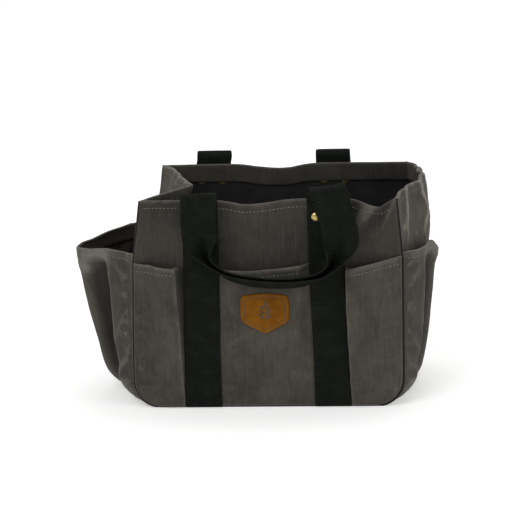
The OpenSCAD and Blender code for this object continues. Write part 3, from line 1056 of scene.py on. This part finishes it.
RIGHT_MOUTH = ([-81, -55, -40, -31, -17, 0, 25, 55, 81], [170, 169, 168, 168, 156, 150, 148, 153, 161])
side_pockets = {
    "side_pocket_left": side_pocket(-1, LEFT_MOUTH_PLAN, LEFT_LOW_PLAN, LEFT_MOUTH, 0.0, 0.06, 91),
    "side_pocket_right": side_pocket(1, RIGHT_MOUTH_PLAN, RIGHT_LOW_PLAN, RIGHT_MOUTH, 0.08, 0.0, 97),
}
for node, sheet in side_pockets.items():
    settle(sheet, edge_hold(sheet, reach=4), 0.024, 5.5, towards_ends, bending=5.0)
    cloth("canvas_" + node, [sheet], SIDE_CANVAS, node, towards_ends)


# ---------- straps


def strap_ring(width, thickness, round_r=0.8):
    """Cross-section of flat webbing: (across, out), anticlockwise."""
    w, t = width / 2, thickness / 2
    across = np.linspace(-w + round_r, w - round_r, 17)
    bottom = [(a, -t) for a in across]
    top = [(a, t) for a in across[::-1]]
    return np.array(bottom + [(w, -t * 0.45), (w, t * 0.45)] + top + [(-w, t * 0.45), (-w, -t * 0.45)])


STRAP_THREAD_IN = 2.4


def strap(name, side_x, side_y, node):
    z = np.concatenate([[0.9, 2.0], np.arange(5, STRAP_TOP - 1, 3.0), [STRAP_TOP]])
    ring = strap_ring(WEB_W, WEB_T)
    sway = 0.7 * noise(z / 60 + side_x, z * 0 + side_y, 101) * ramp((STRAP_TOP - z) / 50)
    tuck = 1.0 - ramp((z - 1) / 6)
    across = side_x * STRAP_X + ring[:, 0] + sway[:, None]
    out = side_y * (STRAP_Y - tuck[:, None] + ring[:, 1])
    place(sweep(name, soften(grid_of(across, out, z[:, None])), WEBBING), "webbing", node)
    lines = []
    for edge in (-1, 1):
        across = side_x * STRAP_X + edge * (WEB_W / 2 - STRAP_THREAD_IN) + sway
        line = grid_of(across, side_y * (STRAP_Y + WEB_T / 2), z)
        lines.append((soften(line), np.tile([0.0, side_y, 0.0], (len(z), 1))))
    stitches(name + "_stitches", lines, BLACK_THREAD, "webbing", pitch=3.4, length=2.5, lift=0.1, seed=7)


for side_y, face in ((-1, "front"), (1, "back")):
    for side_x, end in ((-1, "left"), (1, "right")):
        strap(f"{face}_strap_{end}_web", side_x, side_y, f"{face}_strap_{end}")


# ---------- handles

HANDLE_STATIONS = 260


def folded_ring(fold, samples=33, bend_r=2.1):
    """Cross-section of webbing folded lengthwise by an angle: points (across, out)."""
    w = np.linspace(-WEB_W / 2, WEB_W / 2, samples)
    heading = fold * np.tanh(w / bend_r)
    turns = (heading[1:] + heading[:-1]) / 2
    steps = np.stack([np.cos(turns), np.sin(turns)], 1) * (w[1] - w[0])
    line = np.vstack([[0, 0], np.cumsum(steps, axis=0)])
    line -= line[(samples - 1) // 2]
    half = np.full((samples, 1), WEB_T / 2)
    half[[0, -1]] /= 2
    normal = np.stack([-np.sin(heading), np.cos(heading)], 1)
    return np.vstack([line - normal * half, (line + normal * half)[::-1]])


def handle(name, side_y, node, slant):
    """Webbing from one strap's end, over the fold, down, along the grip and back. slant is 1 where its right
    end stands askew, as in the front's, and 0 where both ends are alike."""
    arc_l = [
        (-STRAP_X, -FOLD_Y + FOLD_R * math.cos(a), FOLD_Z + FOLD_R * math.sin(a), 0.0, a)
        for a in np.linspace(0, math.pi, 15)
    ]
    tail_l = [(-STRAP_X, -STRAP_Y, z, 0.0, 0.0) for z in (STRAP_TOP - 2, STRAP_TOP)]
    # x, y behind the fold's front, z, and in degrees how far it is folded lengthwise and the outward side's
    # angle, where 180 is forwards and 90 is up
    hanging = [
        (-67.8, 0.0, 219, 0, 180),
        (-67.6, 0.6, 204, 0, 180),
        (-66.8, 2.0, 194, 2, 180),
        (-65.0, 3.6, 183, 48, 181),
        (-60.0, 4.4, 171, 80, 177),
        (-49.5, 4.0, 157.5, 88, 161),
        (-35.0, 3.0, 147, 90, 148),
        (-14.0, 2.2, 140.8, 90, 143),
        (8.0, 2.0, 138.0, 90, 142),
        (30.0, 2.2, 138.3, 90, 144),
        (48.0, 2.8, 141.5, 89, 149),
        (62.5, 3.6, 148.5, 86, 159),
        (74.5, 4.4, 161, 78, 171),
        (81.0, 3.6, 177, 46, 179),
        (83.6, 2.0, 190, 3, 180),
        (STRAP_X + 6 + 8.7 * slant, 0.6, 207, 0, 180),
        (STRAP_X + 2 + 7.7 * slant, 0.0, 224, 0, 180),
    ]
    drop = -FOLD_Y - FOLD_R
    low = [(x, drop + y, z, math.radians(f), math.radians(a)) for x, y, z, f, a in hanging]
    arc_r = [(-x + 2.0 * slant * a, y, z, f, a) for x, y, z, f, a in arc_l[::-1]]
    tail_r = [(-x, y, z, f, a) for x, y, z, f, a in tail_l[::-1]]
    stations = spline(tail_l + arc_l + low + arc_r + tail_r, HANDLE_STATIONS)
    centre, fold, facing = stations[:, :3], stations[:, 3], stations[:, 4]
    tangent = unit(np.gradient(centre, axis=0))
    out = grid_of(0.0, np.cos(facing), np.sin(facing))
    out = unit(out - tangent * (out * tangent).sum(1, keepdims=True))
    across = np.cross(out, tangent)
    sections = np.array([folded_ring(max(f, 0.0)) for f in fold])
    rings = centre[:, None] + sections[..., :1] * across[:, None] + sections[..., 1:] * out[:, None]
    # The right end of the fold stands higher than the left, and both tilt
    x = rings[..., 0]
    raised = 3.0 + 0.12 * (x - STRAP_X)
    lowered = -2.6 + 0.06 * (x + STRAP_X)
    rings[..., 2] += ramp((rings[..., 2] - FOLD_Z + 16) / 20) * slant * np.where(x > 0, raised, lowered)
    if side_y > 0:
        rings[..., :2] *= -1
    obj = sweep(name, soften(rings), WEBBING, lengths(centre))
    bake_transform(obj)
    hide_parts(node)


handle("front_handle_web", -1, "front_handle", 1.0)
handle("back_handle_web", 1, "back_handle", 0.0)


# ---------- label

LABEL_CENTRE = np.array([(LABEL_LOW[0] + LABEL_HIGH[0]) / 2, (LABEL_LOW[2] + LABEL_HIGH[2]) / 2 + 1])
LABEL_POINTS = 120
# The label's rings from its middle out: their size as a share of its outline, and how far they stand out
LABEL_SHARES = np.array(
    [0.0, 0.15, 0.3, 0.45, 0.6, 0.7, 0.76, 0.79, 0.805, 0.82, 0.85, 0.9, 0.94, 0.97, 0.99, 1.0, 1.0]
)
LABEL_STAND = np.array([1.7] * 7 + [1.6, 1.15, 1.6, 1.72, 1.75, 1.72, 1.62, 1.4, 1.05, 0.05])
LABEL_GROOVE = (7, 8)
LABEL_THREAD_STAND = 1.78
SPRIG_STAND = 1.84


def surface_y(x, z):
    """Depth of the centre pocket's outer face at x and z, from the nearest points of its sheet."""
    sheet = pockets["front_pocket_centre"]
    outer = sheet.p[:, : -(HEM_ROWS + 2)].reshape(-1, 3)
    flat = (outer[None, :, 0] - np.ravel(x)[:, None]) ** 2 + (outer[None, :, 2] - np.ravel(z)[:, None]) ** 2
    nearest = np.argsort(flat, axis=1)[:, :6]
    weight = 1 / (np.take_along_axis(flat, nearest, 1) + 0.3)
    y = outer[:, 1][nearest]
    return ((y * weight).sum(1) / weight.sum(1)).reshape(np.shape(x)) - CANVAS_T / 2


def shield(count):
    """The label's outline, anticlockwise from the point, about its own centre."""
    w, h = (LABEL_HIGH[0] - LABEL_LOW[0]) / 2, LABEL_HIGH[2] - LABEL_LOW[2]
    corner = [(0, 0), (0.55, 0.165), (0.93, 0.3), (1, 0.36), (1, 0.62), (0.985, 0.86)]
    corner += [(0.93, 0.945), (0.8, 0.965), (0.4, 0.993), (0, 1)]
    corner = np.array(corner) * np.array([w, h])
    share = np.linspace(0, 1, 12, endpoint=False)[:, None]
    right = np.vstack([a + (b - a) * share for a, b in zip(corner, corner[1:])] + [corner[-1:]])
    loop = np.vstack([right, right[::-1][1:] * np.array([-1, 1])])
    closed = resample(np.column_stack([loop, np.zeros(len(loop))]), count + 1)[:-1, :2]
    for _ in range(2):
        closed = (np.roll(closed, 1, 0) + 2 * closed + np.roll(closed, -1, 0)) / 4
    return closed - np.array([0, h * 0.52])


def label_patch(outline):
    rings = outline * LABEL_SHARES[:, None, None] + LABEL_CENTRE
    x, z = rings[..., 0], rings[..., 1]
    stand = LABEL_STAND[:, None]
    y = surface_y(x, z) - stand - 0.1 * noise(x / 4, z / 4, 131) * (stand > 1)
    faces = ring_faces(len(rings), LABEL_POINTS)
    faces[:LABEL_POINTS] = [(a, c, d) for a, b, c, d in faces[:LABEL_POINTS]]
    obj = new_object("leather_label_patch", grid_of(x, y, z).reshape(-1, 3), faces, LEATHER, rings)
    obj.data.materials.append(GROOVE)
    for polygon in obj.data.polygons:
        polygon.material_index = int(polygon.index // LABEL_POINTS in LABEL_GROOVE)
    place(obj, "label", "leather_label")


def label_stitches(outline):
    x, z = (np.vstack([outline, outline[:1]]) * 0.91 + LABEL_CENTRE).T
    line = grid_of(x, surface_y(x, z) - LABEL_THREAD_STAND, z)
    lines = [(line, towards_front(line))]
    size = {"pitch": 2.6, "length": 1.9, "radius": 0.26, "lift": 0.05}
    stitches("label_stitches", lines, TAN_THREAD, "label", seed=9, **size)


def blade(x, z, angle, size, width):
    """A leaf's two edges, from its foot at x and z."""
    t = np.linspace(0, 1, 9)[:, None]
    half = width * np.sin(t * math.pi) ** 0.8 * (1 - 0.35 * t)
    along = np.array([math.sin(angle), math.cos(angle)])
    aside = np.array([along[1], -along[0]])
    bend = 0.1 * size * np.sin(t * math.pi) * math.copysign(1, angle or 1)
    middle = np.array([x, z]) + t * size * along + bend * aside
    return np.stack([middle - half * aside, middle + half * aside], 1)


def label_sprig():
    """A generic leafy sprig, stamped."""
    shapes = [blade(0, -11, 0.0, 22.0, 0.45), blade(0, 7, 0.0, 8.0, 2.0)]
    for level, size in ((-5.0, 8.5), (0.0, 8.0), (5.0, 6.5)):
        shapes += [blade(0, level, a, size, 1.9) for a in (-0.95, 0.95)]
    vertices, faces = [], []
    for shape in shapes:
        x, z = (shape.reshape(-1, 2) + LABEL_CENTRE + np.array([0, -0.5])).T
        faces += grid_faces(len(shape), 2, sum(len(v) for v in vertices), flip=True)
        vertices.append(grid_of(x, surface_y(x, z) - SPRIG_STAND, z))
    obj = new_object("label_sprig_stamp", np.vstack(vertices), faces, STAMP)
    thicken(obj, 0.12)
    place(obj, "label")


outline = shield(LABEL_POINTS)
label_patch(outline)
label_stitches(outline)
label_sprig()


# ---------- stitching along the hems


def hem_line(sheet, height, towards, trim=2):
    """The line across a sheet at a cloth height, with its normals turned outwards."""
    points, normals = sheet.row_at(height)
    points, normals = points[trim:-trim], normals[trim:-trim]
    return points, turned(normals, towards(points))


def skip_straps(points, normals):
    """Splits a line where the straps cover it."""
    covered = np.abs(np.abs(points[:, 0]) - STRAP_X) < WEB_W / 2 + 0.5
    parts, start = [], None
    for i, hidden in enumerate(covered):
        if not hidden and start is None:
            start = i
        if (hidden or i == len(covered) - 1) and start is not None:
            if i - start > 2:
                parts.append((points[start:i], normals[start:i]))
            start = None
    return parts


rim_row = np.argmax(front.p[FACE_COLUMNS // 2, :, 2])
rim_stitch = front.uv[0, rim_row, 1] - STITCH_DROP
stitches("front_hem_stitches", skip_straps(*hem_line(front, rim_stitch, towards_front)), PALE_THREAD)
stitches("back_hem_stitches", skip_straps(*hem_line(back, rim_stitch, towards_back)), PALE_THREAD, seed=6)
for name, sheet in pockets.items():
    towards = towards_front if "front" in name else towards_back
    points, normals = hem_line(sheet, sheet.uv[0, -HEM_TURN, 1] - STITCH_DROP, towards)
    x = np.abs(points[:, 0])
    if "centre" in name:
        shown = x < STRAP_EDGE_IN - 1
    elif "front" in name:
        # The left one's folded edge hides the first stitches
        shown = x > STRAP_EDGE_OUT + (8 if "left" in name else 0)
    else:
        shown = np.abs(x - STRAP_X) > WEB_W / 2 - 4
    stitches(name + "_stitches", [(points[shown], normals[shown])], PALE_THREAD)
for name, sheet in side_pockets.items():
    line = hem_line(sheet, sheet.uv[0, -HEM_TURN, 1] - STITCH_DROP, towards_ends, trim=3)
    stitches(name + "_stitches", [line], PALE_THREAD)
heights = gusset.uv[0, :, 1]
end_lines = [
    hem_line(gusset, heights[HEM_TURN] + STITCH_DROP, towards_ends),
    hem_line(gusset, heights[-1 - HEM_TURN] - STITCH_DROP, towards_ends),
]
stitches("end_hem_stitches", end_lines, PALE_THREAD)


# ---------- floor, light and camera

FLOOR_HALF = 6000
FLOOR_GLOW = 0.4
FAR_GLOW = 0.52
SKY_LIGHT = 0.5


def floor_material():
    """Pale paint that glows a little, more so far from the bag."""
    n = Nodes("floor_paint")
    colour = n.mix(n.noise(n.object, 4.0, 2.0), (0.8, 0.8, 0.795), (0.83, 0.83, 0.825))
    away = n.add("ShaderNodeVectorMath", {0: n.object}, operation="LENGTH").outputs["Value"]
    glow = n.span(away, 0.4, 1.6, FLOOR_GLOW, FAR_GLOW)
    more = {"Emission Color": (1.0, 1.0, 1.0), "Emission Strength": glow}
    return n.finish(colour, 0.9, gloss=0.1, **more)


corners = [(x * FLOOR_HALF, y * FLOOR_HALF, 0) for x, y in ((-1, -1), (1, -1), (1, 1), (-1, 1))]
new_object("studio_floor", corners, [(0, 1, 2, 3)], floor_material())

# The sky is white to the camera and dimmer as a light
world = bpy.data.worlds.new("studio")
bpy.context.scene.world = world
world.use_nodes = True
sky = world.node_tree.nodes["Background"]
sky.inputs[0].default_value = (1.0, 1.0, 1.0, 1.0)
seen = world.node_tree.nodes.new("ShaderNodeLightPath").outputs["Is Camera Ray"]
level = world.node_tree.nodes.new("ShaderNodeMapRange")
world.node_tree.links.new(seen, level.inputs["Value"])
level.inputs["To Min"].default_value = SKY_LIGHT
level.inputs["To Max"].default_value = 1.0
world.node_tree.links.new(level.outputs["Result"], sky.inputs[1])


def area_light(name, at, size, power):
    """A rectangular light, turned to the bag's middle."""
    light = bpy.data.lights.new(name, "AREA")
    light.shape = "RECTANGLE"
    light.size, light.size_y = size
    light.energy = power
    obj = add_object(name, light)
    obj.location = at
    obj.rotation_euler = (Vector((0, 0, 0.1)) - Vector(at)).to_track_quat("-Z", "Y").to_euler()


area_light("key_light", (-0.9, -1.5, 1.6), (1.2, 1.0), 15)
area_light("fill_light", (1.5, -1.1, 0.9), (1.0, 1.2), 7)
area_light("top_light", (0.1, 0.6, 1.9), (1.6, 1.0), 12)

CAMERA_DISTANCE = 3.0
CAMERA_LENS = 200.3
CAMERA_AZIMUTH = math.radians(5.0)
CAMERA_ELEVATION = math.radians(15.3)
CAMERA_ROLL = math.radians(-2.0)
CAMERA_TARGET = Vector((-0.008, -0.085, 0.168))

across = math.cos(CAMERA_ELEVATION)
to_right, to_front = math.sin(CAMERA_AZIMUTH) * across, math.cos(CAMERA_AZIMUTH) * across
outwards = Vector((to_right, -to_front, math.sin(CAMERA_ELEVATION)))
camera_data = bpy.data.cameras.new("camera")
camera_data.lens = CAMERA_LENS
camera = add_object("camera", camera_data)
camera.location = CAMERA_TARGET + outwards * CAMERA_DISTANCE
turn = (-outwards).to_track_quat("-Z", "Y").to_matrix().to_4x4()
camera.rotation_euler = (turn @ Matrix.Rotation(CAMERA_ROLL, 4, "Z")).to_euler()
bpy.context.scene.camera = camera
bpy.context.scene.view_settings.view_transform = "Standard"
